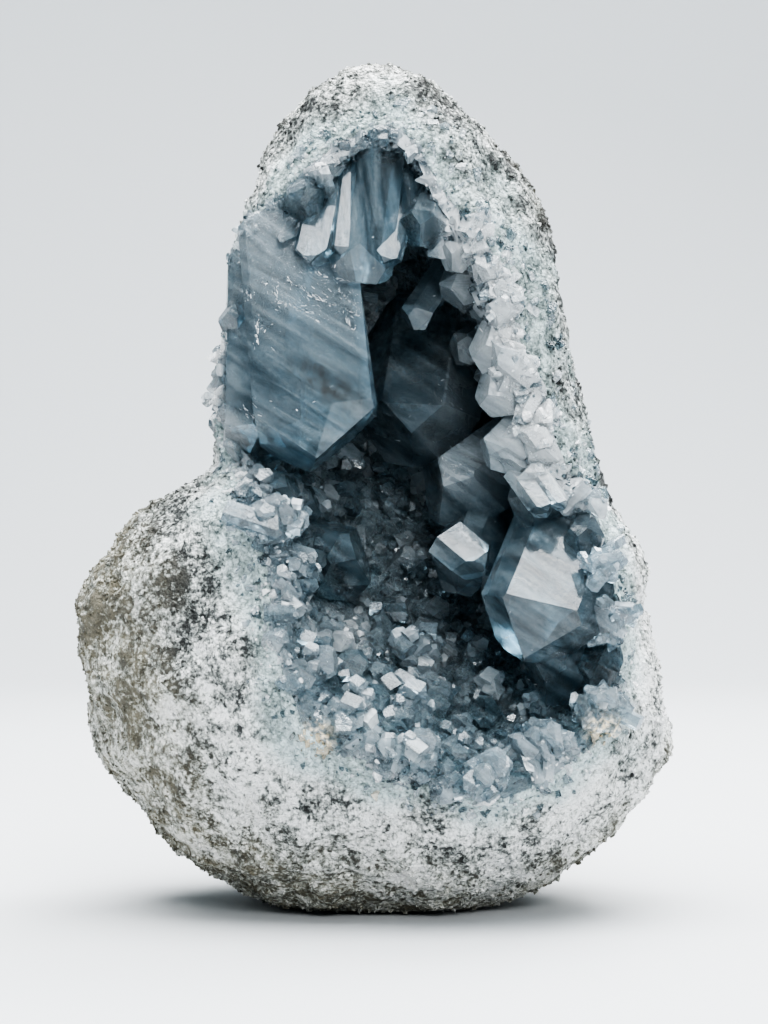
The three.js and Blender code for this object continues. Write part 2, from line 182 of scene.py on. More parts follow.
def sweep_mesh():
    bm = bmesh.new()
    ends = [bm.verts.new((x, SWEEP["starts"], 0)) for x in (-SWEEP["half_width"], SWEEP["half_width"])]
    edge = bm.edges.new(ends)
    front = bmesh.ops.extrude_edge_only(bm, edges=[edge])["geom"]
    front = [part for part in front if isinstance(part, bmesh.types.BMVert)]
    bmesh.ops.translate(bm, verts=front, vec=(0, -SWEEP["starts"] - SWEEP["front"], 0))
    centre = (0, SWEEP["starts"], SWEEP["radius"])
    turned = bmesh.ops.spin(
        bm, geom=[edge], cent=centre, axis=(1, 0, 0), angle=math.pi / 2, steps=SWEEP["steps"])
    last = [part for part in turned["geom_last"] if isinstance(part, bmesh.types.BMEdge)]
    wall = bmesh.ops.extrude_edge_only(bm, edges=last)["geom"]
    wall = [part for part in wall if isinstance(part, bmesh.types.BMVert)]
    bmesh.ops.translate(bm, verts=wall, vec=(0, 0, SWEEP["height"]))
    bmesh.ops.remove_doubles(bm, verts=bm.verts[:], dist=1e-6)
    bmesh.ops.recalc_face_normals(bm, faces=bm.faces[:])
    mesh = bpy.data.meshes.new("paper_sweep")
    bm.to_mesh(mesh)
    mesh.polygons.foreach_set("use_smooth", [True] * len(mesh.polygons))
    return mesh


paper, tree, shader = new_material("matt_pale_paper")
plug(tree, shader, {"Base Color": linear("#c9cbcd"), "Roughness": 0.9})
backdrop = shown("paper_sweep", sweep_mesh(), paper)
print("backdrop:", len(backdrop.data.polygons), "faces")

# %% [markdown]
# ## Camera
# A level camera looks at the open side from 44 cm away with a telephoto lens.

# %% Camera
PICTURE = (768, 1024)
FOCAL_PIXELS = 2925
camera_data = bpy.data.cameras.new("camera")
camera_data.sensor_width = 36
camera_data.lens = camera_data.sensor_width * FOCAL_PIXELS / max(PICTURE)
camera_data.clip_start = 0.02
camera = in_scene("camera", camera_data)
camera.location = (1.585 * MM, -437 * MM, 58.6 * MM)
camera.rotation_euler = (math.radians(90), 0, 0)
bpy.context.scene.camera = camera
print("lens, mm:", round(camera_data.lens, 1))

# %% [markdown]
# ## Light
# A crystal's face is bright where it mirrors a lamp. Faces that lean back by about 45 degrees mirror the big
# softbox overhead and flash as flat light-grey polygons. The room is dim and a little blue, so the other
# faces stay dark.

# %% Softboxes and room
MIDDLE = Vector((0, 0, 60 * MM))
ROOM_COLOUR, ROOM_STRENGTH = "#80949f", 0.7
SOFTBOXES = {  # place, width, height, watts
    "overhead": ((0.0, -0.02, 0.78), 0.86, 0.95, 15.8),
    "left": ((-0.85, 0.15, 0.08), 0.40, 0.30, 1.2),
    "right": ((0.8, -0.15, 0.10), 0.40, 0.25, 1.0),
    "behind": ((0.25, 0.42, 0.60), 0.50, 0.30, 3.0),
    "front": ((0.24, -1.12, 0.57), 0.60, 0.30, 8.0),
}
for name, (place, width, height, watts) in SOFTBOXES.items():
    lamp = bpy.data.lights.new("softbox_" + name, "AREA")
    lamp.shape = "RECTANGLE"
    lamp.size, lamp.size_y, lamp.energy = width, height, watts
    softbox = in_scene("softbox_" + name, lamp)
    softbox.location = place
    softbox.rotation_euler = (MIDDLE - Vector(place)).to_track_quat("-Z", "Y").to_euler()

world = bpy.data.worlds.new("dim_room")
world.use_nodes = True
room = world.node_tree.nodes["Background"]
plug(world.node_tree, room, {"Color": linear(ROOM_COLOUR), "Strength": ROOM_STRENGTH})
bpy.context.scene.world = world
bpy.context.scene.view_settings.look = "AgX - Very High Contrast"
print("softboxes:", list(SOFTBOXES))

# %% [markdown]
# ## The frame's two solids as surfaces to grow on
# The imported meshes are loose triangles, so copies of them are merged before anything is done with them.
# Search trees over these copies answer how far a point is from the rock, from the crust, or from the rock's
# outer skin.

# %% Merged copies and search trees


def merged(node):
    """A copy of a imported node's mesh with its loose triangles joined."""
    bm = bmesh.new()
    bm.from_mesh(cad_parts[node].data)
    bmesh.ops.remove_doubles(bm, verts=bm.verts[:], dist=1e-7)
    return bm


def tree_of(bm, wanted=lambda face: True):
    """A search tree over the faces of a mesh that are wanted."""
    faces = [[vertex.index for vertex in face.verts] for face in bm.faces if wanted(face)]
    return BVHTree.FromPolygons([vertex.co.copy() for vertex in bm.verts], faces)


def distances(tree, points):
    """How far each point is from a tree's surface."""
    return np.array([tree.find_nearest(point)[3] for point in points])


rock_bm, crust_bm = merged("matrix_rock"), merged("crystal_crust")
crust_tree = tree_of(crust_bm)
SEAM = 0.7 * MM  # the rock's faces closer than this to the crust are the wall that it grew on
skin_tree = tree_of(rock_bm, lambda face: crust_tree.find_nearest(face.calc_center_median())[3] > SEAM)
wall_tree = tree_of(rock_bm, lambda face: crust_tree.find_nearest(face.calc_center_median())[3] <= SEAM)
print("merged:", len(rock_bm.faces), "rock faces,", len(crust_bm.faces), "crust faces")

# %% [markdown]
# ## Sugary rock: the material
# The matrix is a crumbly mass of tiny pale celestite and lime grains, with darker grains of sand and clay.
# It is rough and matt, and looks like salt and pepper. A cell pattern gives each grain of about half a
# millimetre its own shade, a finer noise breaks the cells up, and broader fields crowd the dark grains in
# some places and thin them out in others. The pits where grains fell out are painted darker, as painted
# shade for the shadow that falls in them. The outer skin has weathered to a cream grey, and near the
# crystals the grains are clean and icy. The attributes for weathering and for ice say where. The first also
# darkens the rock the further it lies from the crust, partly for the weathered skin and partly as painted
# shade for the shadow over the left of the bulge. A third, shade, lightens or darkens a place or a single
# grain; the lighter heavy end is partly chalk and partly painted light.
#
# All of this is one sum. Each part of it, a noise field or an attribute, is multiplied by its weight and
# added, and a colour ramp turns the sum into a shade. A second sum of the same kind is the height of the
# fine relief.

# %% Sugary rock material
GRAIN = 0.55 * MM
ROCK_SHADES = ((0.0, "#484a4a"), (0.2, "#757977"), (0.42, "#a2a6a3"), (0.64, "#d0d2cf"), (0.95, "#fdfdfc"))
CREAM, PALE_ICE = "#d6cba9", "#deecee"
CREAM_SHARE = 0.45
ICE_LEVEL = 0.82  # icy grains are all nearly this light
ROCK_NOISES = {  # size and settings
    "grains": (0.75 * MM, {"Detail": 4, "Roughness": 0.7}),
    "patches": (3 * MM, {"Detail": 4, "Roughness": 0.75}),
    "zones": (8 * MM, {"Detail": 3, "Roughness": 0.6}),
    "pits": (0.8 * MM, {"Detail": 2, "Roughness": 0.6}),
    "crowds": (5 * MM, {"Detail": 2, "Roughness": 0.5}),
    "weather": (2.5 * MM, {"Detail": 3, "Roughness": 0.5}),
    "grit": (0.4 * MM, {"Detail": 3, "Roughness": 0.65}),
    "bumps": (1.3 * MM, {"Detail": 3, "Roughness": 0.5}),
    "humps": (3.5 * MM, {"Detail": 3, "Roughness": 0.6}),
}
# painted shade: the pits where grains fell out are made darker in colour, standing in for the shade that
# falls in them
ROCK_RANGES = {"pit_shade": {"From Min": 1.12, "From Max": 1.22, "To Max": -0.45}}  # pits are dark
ROCK_SUMS = [
    ("pit_shade", "ADD", "pits", "crowds"),
    ("icy", "MULTIPLY", "ice", 0.5),
    ("weathered", "MULTIPLY", "dirt", "weather"),
    ("creamy", "MULTIPLY", "weathered", CREAM_SHARE),
]
# painted shade: the weight on the weathering attribute darkens the rock the further it lies from the crust,
# partly for its weathered skin and partly as painted shade for the shadow over the left of the bulge
ROCK_WEIGHTS = {  # what each of the two long sums starts from, and the weights of its parts
    "level": (-3.07, {"each": 0.3, "grains": 2.2, "patches": 2.5, "zones": 2.1, "shade": 1, "ice": 0.12,
                      "dirt": -0.36, "pit_shade": 1}),
    "height": (0, {"cells": -0.5, "grit": 0.7, "bumps": 1, "humps": 2.2}),
}
ROCK_ROUGHNESS = 0.62
ROCK_BUMP = {"Distance": 1.1 * MM, "Strength": 1.0}


def sugary_rock():
    material, tree, shader = new_material("sugary_celestite_rock")
    position, parts = read_values(tree, ("dirt", "ice", "shade"), ROCK_NOISES)
    cells = add(tree, "ShaderNodeTexVoronoi", {"Vector": position, "Scale": 1 / GRAIN, "Randomness": 1.0})
    parts["cells"] = cells
    parts["each"] = add(tree, "ShaderNodeSeparateColor", {"Color": cells.outputs["Color"]})
    work_out(tree, parts, ROCK_RANGES, ROCK_SUMS)
    for name, (start, weights) in ROCK_WEIGHTS.items():
        parts[name] = start
        for part, weight in weights.items():
            inputs = {0: parts[part], 1: weight, 2: parts[name]}
            parts[name] = add(tree, "ShaderNodeMath", inputs, operation="MULTIPLY_ADD")
    level = add(tree, "ShaderNodeMix", {0: parts["icy"], 2: parts["level"], 3: ICE_LEVEL})
    ramp = add(tree, "ShaderNodeValToRGB", {"Fac": level})
    shade_ramp(ramp, ROCK_SHADES)
    creamy = add(tree, "ShaderNodeMix", {0: parts["creamy"], 6: ramp, 7: linear(CREAM)}, data_type="RGBA")
    tinted = add(tree, "ShaderNodeMix", {0: parts["ice"], 6: creamy.outputs[2], 7: linear(PALE_ICE)},
                 data_type="RGBA", blend_type="MULTIPLY")
    bump = add(tree, "ShaderNodeBump", {"Height": parts["height"], **ROCK_BUMP})
    plug(tree, shader, {"Base Color": tinted.outputs[2], "Normal": bump, "Roughness": ROCK_ROUGHNESS})
    return material


rock_material = sugary_rock()
print("material:", rock_material.name)

# %% [markdown]
# ## The rock
# A copy of the rock's solid is remeshed into an even grid of small faces. Each vertex then moves along its
# normal by a sum of noise fields, from lumps of a few millimetres down to single grains. The wall behind the
# crust moves forward a little, so that clear crystal and rock meet with no film of air between them.

# %% Rough rock
VOXEL = 0.7 * MM
ROUGHNESS = [(9.0, 0.9), (4.0, 0.7), (1.9, 0.4)]  # size and height of the relief, in mm
FOOT = 2.5 * MM  # the relief fades out below this height, so that the flat spot stays flat
WALL = (0.6 * MM, 1.6 * MM)  # the rock this close to the crust is the wall behind it, fading out
CLOSES_SEAM = 0.8 * MM
LUMPS = {"size": 9 * MM, "shift": 6 * MM}  # they make the edges of the zones below ragged
# painted shade: from the second range of distances on, the rock is darker, partly weathered skin and partly
# painted shade
ICY, WEATHERED_AND_SHADED = (1 * MM, 8 * MM), (9 * MM, 26 * MM)  # distances from the crust
SPECKLED, FACING_RIGHT, HIGH = -0.2, (0.3, 0.9), {"z": (45 * MM, 60 * MM)}  # the upper right side is darker
# painted light: the heavy end is lighter partly because it is chalkier and partly as painted light, standing
# in for the front light that the bottom lacks; the lower right side is chalkier
CHALK_AND_LIGHT = 0.34  # the heavy end and the lower right side are chalkier
HEAVY_END = {"z": (46 * MM, 22 * MM)}
LOWER_RIGHT = {"x": (16 * MM, 26 * MM), "z": (66 * MM, 54 * MM)}
BROADER = 0.5  # how much broader the pale zone round the hollow is on the right of its upper half
BROAD_RIM = {"x": (-8 * MM, 8 * MM), "z": (56 * MM, 72 * MM)}


def relief(point):
    """How far the rock's surface stands out at a point."""
    return sum(height * MM * noise.noise(point / (size * MM)) for size, height in ROUGHNESS)


def rough_rock():
    """The rock's solid with its relief, and the attributes that its material reads."""
    smooth_mesh = bpy.data.meshes.new("rock_to_remesh")
    rock_bm.to_mesh(smooth_mesh)
    source = in_scene("rock_to_remesh", smooth_mesh)
    remesh = source.modifiers.new("even_grid", "REMESH")
    remesh.mode, remesh.voxel_size = "VOXEL", VOXEL
    graph = bpy.context.evaluated_depsgraph_get()
    mesh = bpy.data.meshes.new_from_object(source.evaluated_get(graph))
    bpy.data.objects.remove(source)
    mesh.name = "rough_rock"
    points = [vertex.co.copy() for vertex in mesh.vertices]
    normals = [vertex.normal.copy() for vertex in mesh.vertices]
    to_crust = distances(crust_tree, points)
    wall = 1 - smooth(to_crust, *WALL)
    for i, (point, normal) in enumerate(zip(points, normals)):
        settled = float(smooth(point.z, 0, FOOT))
        out = (1 - wall[i]) * settled * relief(point) + wall[i] * CLOSES_SEAM
        mesh.vertices[i].co = point + normal * out
        mesh.vertices[i].co.z = max(mesh.vertices[i].co.z, 0)
    ragged = LUMPS["shift"] * np.array([noise.noise(point / LUMPS["size"]) for point in points])
    broad = 1 + BROADER * zone(points, **BROAD_RIM)
    store(mesh, "ice", 1 - smooth(to_crust / broad + ragged, *ICY))
    # painted shade: the attribute stored next darkens the rock far from the crust, partly weathering and
    # partly painted shade
    store(mesh, "dirt", smooth(to_crust + ragged, *WEATHERED_AND_SHADED))
    speckled = zone(normals, x=FACING_RIGHT) * zone(points, **HIGH)
    # painted light: the heavy end is made lighter, partly chalk and partly painted light
    chalk_and_light = np.maximum(zone(points, **HEAVY_END), zone(points, **LOWER_RIGHT))
    store(mesh, "shade", SPECKLED * speckled + CHALK_AND_LIGHT * chalk_and_light)
    return mesh


rock = shown("sugary_rock", rough_rock(), rock_material)
print("rock:", triangles(rock.data), "triangles")

# %% [markdown]
# ## Clear celestite: the material
# Celestite is strontium sulphate, with a refractive index of 1.62. Its faces grew as flat as glass. The pale
# blue is in the body of the crystal, so it comes from absorption along the light's way and is strongest
# where the crust is thick. Towards the broken rim the crystals are bruised and full of cracks: whiter,
# rougher and less clear. How bruised a place is comes from an attribute, pale, and each broken piece has its
# own share of it, called chip. A third attribute, stain, says where the floor is stained beige.
#
# Veils of fine cracks run through the body. They are noise that is stretched into sheets: slanting in most
# of the crystals, and upright in the prisms that hang from the top. A cloud of smoky flaws sits in the large
# block.

# %% Clear celestite material
CELESTITE_IOR = 1.62
BODY_COLOUR, BODY_DENSITY = "#a6c9d5", 62  # the density is per metre, so the blue deepens over centimetres
CLEAR, MILKY, MOTTLED, BEIGE, SMOKY = "#c3d3db", "#f4f5f5", "#88a3b1", "#e6d8bd", "#6f665c"
SHEETS = {"Rotation": (0, math.radians(32), 0), "Scale": (20 * MM, 9 * MM, 2.6 * MM)}
PRISM_SHEETS = {"Rotation": (0, math.radians(-7), 0), "Scale": (2.4 * MM, 9 * MM, 17 * MM)}
PRISMS_FROM = {"X": (-10 * MM, -8 * MM), "Z": (91 * MM, 93 * MM)}  # the hanging prisms are beyond both
SMOKE = {"Location": (-6.6 * MM, -20 * MM, 76.4 * MM), "Rotation": (0, math.radians(32), 0),
         "Scale": (8.5 * MM, 9 * MM, 3.4 * MM)}
VEILS = {"Scale": 1.0, "Detail": 6.0, "Distortion": 1.1}
STREAKS = {"Scale": 2.2, "Detail": 5.0, "Distortion": 0.9}
CRYSTAL_NOISES = {  # size and settings
    "flecks": (0.4 * MM, {"Detail": 4}),
    "smoky": (1.6 * MM, {"Detail": 4}),
    "stained": (0.8 * MM, {"Detail": 4}),
    "crushed": (0.9 * MM, {"Detail": 4}),
    "waves": (3 * MM, {"Detail": 2}),
    "etching": (0.3 * MM, {"Detail": 3}),
}
CRYSTAL_RANGES = {  # which part of a value counts, and what it becomes
    "chip": {"To Min": 0.15},
    "streaks": {"From Min": 0.34, "From Max": 0.74},
    "veils": {"From Min": 0.34, "From Max": 0.72, "To Min": 0.04, "To Max": 0.26},
    "cloud": {"From Max": 0.5},
    "smoky": {"From Min": 0.35, "From Max": 0.62, "To Min": 0.15, "To Max": 0.85},
    "stained": {"From Min": 0.4, "From Max": 0.6},
    "mottle": {"From Min": 0.85, "From Max": 1.6},
    "clear": {"To Min": 1.0, "To Max": 0.0},
}
CRYSTAL_SUMS = [  # each new part, its operation, and what it is made of
    ("mottle", "MULTIPLY_ADD", "flecks", 1.5, "streaks"),
    ("milk", "MULTIPLY", "pale", "chip"),
    ("smoke", "MULTIPLY", "cloud", "smoky"),
    ("stain", "MULTIPLY", "stain", "stained"),
    ("bruised", "MULTIPLY", "milk", 0.5),
    ("hidden", "MAXIMUM", "stain", "bruised"),
    ("clear", "ADD", "veils", "hidden"),
    ("silky", "MULTIPLY_ADD", "mottle", -0.11, 0.14),
    ("rough", "MULTIPLY_ADD", "milk", 0.2, "silky"),
    ("crazed", "MULTIPLY", "crushed", "milk"),
    ("wavy", "MULTIPLY_ADD", "waves", 0.08, "crazed"),
    ("height", "MULTIPLY_ADD", "etching", 0.02, "wavy"),
]
CRYSTAL_BUMP = {"Distance": 0.5 * MM, "Strength": 0.7}


def clear_celestite():
    material, tree, shader = new_material("clear_celestite")
    position, parts = read_values(tree, ("pale", "chip", "stain"), CRYSTAL_NOISES)
    # the sheets are upright among the hanging prisms and slanting elsewhere
    across = add(tree, "ShaderNodeSeparateXYZ", {"Vector": position})
    hanging = 1.0
    for axis, (low, high) in PRISMS_FROM.items():
        inputs = {"Value": across.outputs[axis], "From Min": low, "From Max": high}
        beyond = add(tree, "ShaderNodeMapRange", inputs)
        hanging = add(tree, "ShaderNodeMath", {0: beyond, 1: hanging}, operation="MULTIPLY")
    sheets, upright, cloud = (
        add(tree, "ShaderNodeMapping", {"Vector": position, **where}, vector_type="TEXTURE")
        for where in (SHEETS, PRISM_SHEETS, SMOKE))
    sheets = add(tree, "ShaderNodeMix", {0: hanging, 4: sheets, 5: upright}, data_type="VECTOR").outputs[1]
    parts["veils"] = add(tree, "ShaderNodeTexNoise", {"Vector": sheets, **VEILS})
    parts["streaks"] = add(tree, "ShaderNodeTexNoise", {"Vector": sheets, **STREAKS})
    cloud = add(tree, "ShaderNodeTexGradient", {"Vector": cloud}, gradient_type="SPHERICAL")
    parts["cloud"] = cloud.outputs["Fac"]
    work_out(tree, parts, CRYSTAL_RANGES, CRYSTAL_SUMS)
    colour = linear(MOTTLED)
    for share, hue in (("mottle", CLEAR), ("smoke", SMOKY), ("milk", MILKY), ("stain", BEIGE)):
        inputs = {0: parts[share], 6: colour, 7: linear(hue)}
        colour = add(tree, "ShaderNodeMix", inputs, data_type="RGBA").outputs[2]
    bump = add(tree, "ShaderNodeBump", {"Height": parts["height"], **CRYSTAL_BUMP})
    plug(tree, shader, {"Base Color": colour, "Transmission Weight": parts["clear"],
                        "Roughness": parts["rough"], "Normal": bump, "IOR": CELESTITE_IOR})
    body = add(tree, "ShaderNodeVolumeAbsorption", {"Color": linear(BODY_COLOUR), "Density": BODY_DENSITY})
    plug(tree, tree.nodes["Material Output"], {"Volume": body})
    return material


celestite = clear_celestite()
print("material:", celestite.name)

# %% [markdown]
# ## How a celestite crystal is cut
# A crystal is a flat prism with a broad face on each side, four side faces, and a chisel end of two wedge
# faces with two bevels. The angles between its faces are the mineral's own. A cube is scaled to the
# crystal's length, width and thickness and then cut by one plane for each face, and each cut is filled.

# %% Crystal shapes
SIDE_TO_BROAD = math.radians(52.1)
WEDGE_TO_LENGTH = math.radians(38)
BEVEL_TO_LENGTH = math.radians(50.6)
RIDGE_SHARE = 0.28  # half the ridge of the chisel end, as a share of the thickness
BOX_SLACK = 1.02


def crystal_planes(width, thickness):
    """The cutting planes of a crystal whose tip is at the origin and whose length lies along +X."""
    planes = []
    for sign in (1, -1):
        for up in (1, -1):
            normal = Vector((0, sign * math.sin(SIDE_TO_BROAD), up * math.cos(SIDE_TO_BROAD)))
            planes.append((normal, width / 2 * math.sin(SIDE_TO_BROAD)))
        planes.append((Vector((math.cos(WEDGE_TO_LENGTH), sign * math.sin(WEDGE_TO_LENGTH), 0)), 0))
        bevel = Vector((math.cos(BEVEL_TO_LENGTH), 0, sign * math.sin(BEVEL_TO_LENGTH)))
        planes.append((bevel, RIDGE_SHARE * thickness * math.sin(BEVEL_TO_LENGTH)))
    return planes


def cut(bm, normal, distance):
    """Cuts away what lies beyond a plane and closes the cut."""
    parts = bm.verts[:] + bm.edges[:] + bm.faces[:]
    made = bmesh.ops.bisect_plane(
        bm, geom=parts, dist=1e-8, plane_co=normal * distance, plane_no=normal, clear_outer=True)
    edges = [part for part in made["geom_cut"] if isinstance(part, bmesh.types.BMEdge)]
    if len(edges) > 2:
        bmesh.ops.contextual_create(bm, geom=edges)


def crystal_bm(length, width, thickness):
    """One crystal with its tip at the origin and its length along +X."""
    bm = bmesh.new()
    bmesh.ops.create_cube(bm, size=1)
    bmesh.ops.scale(bm, verts=bm.verts[:], vec=(length, BOX_SLACK * width, thickness))
    bmesh.ops.translate(bm, verts=bm.verts[:], vec=(-length / 2, 0, 0))
    for normal, distance in crystal_planes(width, thickness):
        cut(bm, normal, distance)
    bmesh.ops.recalc_face_normals(bm, faces=bm.faces[:])
    return bm


def shape_of(bm):
    """A finished bmesh as its points and faces, and the bmesh is freed."""
    bm.verts.index_update()
    points = np.array([vertex.co for vertex in bm.verts])
    faces = [[vertex.index for vertex in face.verts] for face in bm.faces]
    bm.free()
    return points, faces


def laid(tip, along, looks):
    """The matrix that lays a crystal from its tip backwards, with its broad face turned towards looks."""
    along = along.normalized()
    broad = (looks - along * looks.dot(along)).normalized()
    across = broad.cross(along)
    return Matrix((along, across, broad)).transposed().to_4x4(), tip


def joined(name, placed, **values):
    """One mesh from placed copies, each a shape with its turning, size and place, and with its own values."""
    points, faces, start = [], [], 0
    for (shape, corners), turn, size, place in placed:
        points.append(shape * size @ np.array(turn.to_3x3()).T + np.array(place))
        faces.extend([index + start for index in face] for face in corners)
        start += len(shape)
    mesh = bpy.data.meshes.new(name)
    mesh.from_pydata(np.concatenate(points), [], faces)
    counts = [len(corners) for (_, corners), *_ in placed]
    for key, numbers in values.items():
        store(mesh, key, np.repeat(numbers, counts), "FACE")
    return mesh


print("planes of a crystal:", len(crystal_planes(1, 1)))

# %% [markdown]
# ## Where small things stand
# Points are thrown at random over a surface, more than are needed, and each one that falls too close to an
# earlier one is dropped. That leaves them evenly crowded, as crystals that competed for room.

# %% Scattering points


def corners_of(mesh):
    """The three corners of every triangle of a mesh."""
    mesh.calc_loop_triangles()
    points = np.array([vertex.co for vertex in mesh.vertices])
    return points[np.array([triangle.vertices for triangle in mesh.loop_triangles])]


def scatter(mesh, count, random, wanted=None):
    """Random points on a mesh and the normals there. wanted takes both as arrays and says which to keep."""
    a, b, c = corners_of(mesh).transpose(1, 0, 2)
    facing = np.cross(b - a, c - a)
    areas = np.linalg.norm(facing, axis=1)
    chosen = random.choice(len(areas), count, p=areas / areas.sum())
    u, v = random.random((2, count, 1))
    u, v = np.where(u + v > 1, 1 - u, u), np.where(u + v > 1, 1 - v, v)
    points = a[chosen] + u * (b - a)[chosen] + v * (c - a)[chosen]
    normals = facing[chosen] / areas[chosen][:, None]
    if wanted is not None:
        keep = wanted(points, normals)
        points, normals = points[keep], normals[keep]
    return points, normals


def crowded(points, spacing):
    """The numbers of the points that are at least a spacing from all kept before."""
    kept, grid = [], {}
    steps = [(x, y, z) for x in (-1, 0, 1) for y in (-1, 0, 1) for z in (-1, 0, 1)]
    for number, point in enumerate(points):
        key = tuple(int(k) for k in np.floor(point / spacing))
        near = [q for x, y, z in steps for q in grid.get((key[0] + x, key[1] + y, key[2] + z), ())]
        if not near or ((points[near] - point) ** 2).sum(1).min() > spacing ** 2:
            grid.setdefault(key, []).append(number)
            kept.append(number)
    return kept


crust_base = bpy.data.meshes.new("crust_base")
crust_bm.to_mesh(crust_base)
print("crust area, mm2:", round(sum(face.calc_area() for face in crust_bm.faces) * 1e6))

# %% [markdown]
# ## The large crystals
# The same 44 crystals as in the solids, by tip, root, width, thickness and the way the broad face looks, in
# millimetres. They are needed here to know where they stand, so that the druse grows round them, not on
# them.

# %% Large crystals
CENTRING = Vector((0.585, -0.08, 0))  # the frame's origin is under the middle of the box round the rock
LARGE = [
    ((-9.2, -21, 93.8), (-5.9, -12.3, 111), 6.6, 2.6, (-0.28, -0.82, 0.5)),
    ((-4.9, -21.2, 94.6), (-3, -12.7, 113), 4.8, 3.6, (-0.12, -0.86, 0.5)),
    ((-2.6, -20.4, 91.2), (0.4, -11.5, 115.6), 10, 9, (1, -0.05, 0)),
    ((0.8, -21.8, 93.6), (3.2, -15.8, 102.2), 5, 2.4, (0.3, -0.8, 0.5)),
    ((4.6, -17.5, 97.2), (4.2, -10.5, 112.6), 5, 4, (0.5, -0.85, 0.1)),
    ((-10.3, -20, 101.8), (-11.1, -7, 110.6), 6.8, 5, (-0.3, -0.9, 0.2)),
    ((6.1, -21, 97.9), (9.8, -8, 107.6), 7.8, 6.4, (-0.1, -0.95, 0.3)),
    ((10.7, -19, 94.3), (15.7, -6, 103.8), 6, 5, (-0.2, -0.9, 0.3)),
    ((-9, -22, 65.3), (-12.8, -10, 103.4), 25, 11.5, (0.2, -0.93, 0.28)),
    ((-16.4, -12, 66.4), (-16.2, -4, 102.6), 15, 13, (-0.5, -0.8, 0.1)),
    ((-22.4, -13, 86.8), (-16, -8, 86.5), 5.4, 4.4, (-0.3, -0.9, 0.3)),
    ((-22.7, -13, 73.7), (-16, -9, 73.5), 5.4, 4.4, (-0.3, -0.9, 0.3)),
    ((-22.9, -14, 67.6), (-16, -9, 68.3), 5.8, 4.6, (-0.3, -0.9, 0.3)),
    ((5.1, -6, 67.7), (8.1, 13, 87.3), 19, 12.5, (-0.06, -0.88, 0.45)),
    ((4.9, -12, 86.1), (15.5, 5, 102.6), 5.6, 4.6, (-0.5, -0.8, -0.3)),
    ((11.6, -14, 89.6), (16.5, 3, 102.6), 7.6, 5.6, (-0.6, -0.8, 0.1)),
    ((11.9, -6, 82.2), (21, 7, 87.6), 6.2, 5, (-0.5, -0.8, 0.2)),
    ((14.5, -21, 81.4), (24.4, -12, 83.9), 9.4, 6.4, (-0.35, -0.92, 0.1)),
    ((15.2, -20.5, 74.5), (25.5, -11, 79.6), 8, 5, (-0.3, -0.95, 0.05)),
    ((16.1, -20.5, 65.7), (26.7, -10, 76.4), 7.8, 5, (-0.45, -0.85, 0.1)),
    ((21.5, -20.5, 65.7), (29.6, -10, 74.2), 7, 4.6, (-0.3, -0.92, 0.2)),
    ((9.3, -11, 59.6), (24.7, 7, 70.7), 15, 12, (-0.35, -0.9, 0.25)),
    ((22.3, -21, 57.5), (25.9, -3, 72.3), 8.4, 7, (0.1, -0.86, 0.5)),
    ((11.6, -18, 48.9), (18.5, 7, 64.9), 9.6, 8.4, (0, -0.87, 0.5)),
    ((15.4, -21.4, 50.4), (10.2, -17.5, 54.8), 7.6, 4, (0.03, -0.75, 0.65)),
    ((24.1, -24, 58.3), (20, -18.8, 64.4), 4.4, 2.4, (0.03, -0.75, 0.66)),
    ((26.4, -24.3, 59.2), (23, -19.9, 64.3), 3.2, 1.8, (0.03, -0.75, 0.66)),
    ((16.4, -19, 47.2), (24.3, 0, 55.9), 5, 4.4, (0.3, -0.85, 0.42)),
    ((20.8, -28.7, 39.3), (31.6, -7.7, 63.2), 17.5, 9.5, (0.05, -0.87, 0.5)),
    ((23.9, -23, 32.6), (34.3, -6, 48.6), 12, 10, (-0.3, -0.9, 0.2)),
    ((30, -24.5, 34.4), (36, -11, 44.3), 7, 5.4, (-0.4, -0.9, 0.2)),
    ((28.6, -24, 53.9), (33.4, -8, 61.8), 6, 5, (-0.3, -0.9, 0.3)),
    ((-2, -11, 50), (-17, -1, 54), 13, 11, (0.25, -0.9, 0.3)),
    ((-11.4, -26, 45.5), (-16.8, -14, 49), 5.6, 3.4, (0.2, -0.9, 0.35)),
    ((-8.6, -11, 59.2), (-19.1, -5, 61.1), 6.6, 5, (0.1, -0.9, 0.4)),
    ((-12, -22, 61.5), (-21, -12, 63.2), 6, 4.4, (0, -0.9, 0.4)),
    ((-3.6, -22, 38), (-3.7, -10, 30), 5.4, 4.4, (-0.3, -0.85, 0.4)),
    ((-0.7, -26.5, 33.4), (-0.8, -15, 25.2), 6, 4.4, (0.3, -0.85, 0.4)),
    ((2.1, -29.5, 28.4), (2.2, -18, 20.2), 6.4, 4.6, (-0.3, -0.85, 0.4)),
    ((-6, -27.5, 33), (-7.6, -18, 25.2), 5.4, 4.6, (-0.2, -0.85, 0.4)),
    ((7.6, -20, 31), (9.8, -8, 25.9), 5.8, 5.2, (0.1, -0.85, 0.5)),
    ((15.4, -20, 30.7), (15.4, -8, 24.7), 5.2, 5, (0, -0.85, 0.5)),
    ((17.4, -29, 23), (21.9, -22, 15.6), 8, 5, (-0.2, -0.9, 0.3)),
    ((27, -27, 28.4), (32.5, -15, 23), 6, 5, (-0.2, -0.9, 0.3)),
]


def in_metres(row):
    tip, root, width, thickness, looks = row
    tip, root = ((Vector(end) + CENTRING) * MM for end in (tip, root))
    return tip, root, width * MM, thickness * MM, Vector(looks)


